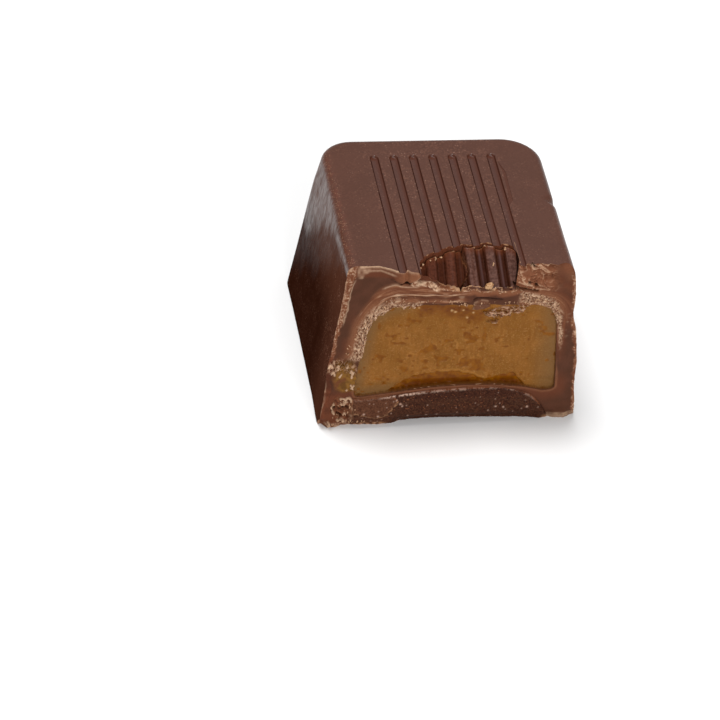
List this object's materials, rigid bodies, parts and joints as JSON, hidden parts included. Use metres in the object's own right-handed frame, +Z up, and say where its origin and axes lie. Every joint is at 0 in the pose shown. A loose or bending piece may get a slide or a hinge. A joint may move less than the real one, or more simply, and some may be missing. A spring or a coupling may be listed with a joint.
{
  "type": "filled chocolate bar",
  "caption": "Bitten half of a moulded chocolate bar with a grooved top, a caramel filling and a closing base layer.",
  "frame": {"origin": "bottom centre of the bounding box, on the surface the bar rests on", "axes": "+X across the bar to the right of the bite, +Y along the bar away from the bite, +Z up"},
  "size_m": [0.024, 0.0242, 0.0164],
  "materials": {
    "shell_chocolate": "satin moulded milk chocolate, rough and paler where it is broken",
    "caramel": "soft set caramel with a matt, finely pitted face",
    "base_chocolate": "matt chocolate with a sandy break"
  },
  "bodies": {
    "root": {"shell": "shell_chocolate", "caramel_filling": "caramel", "base_layer": "base_chocolate"}
  },
  "joints": []
}
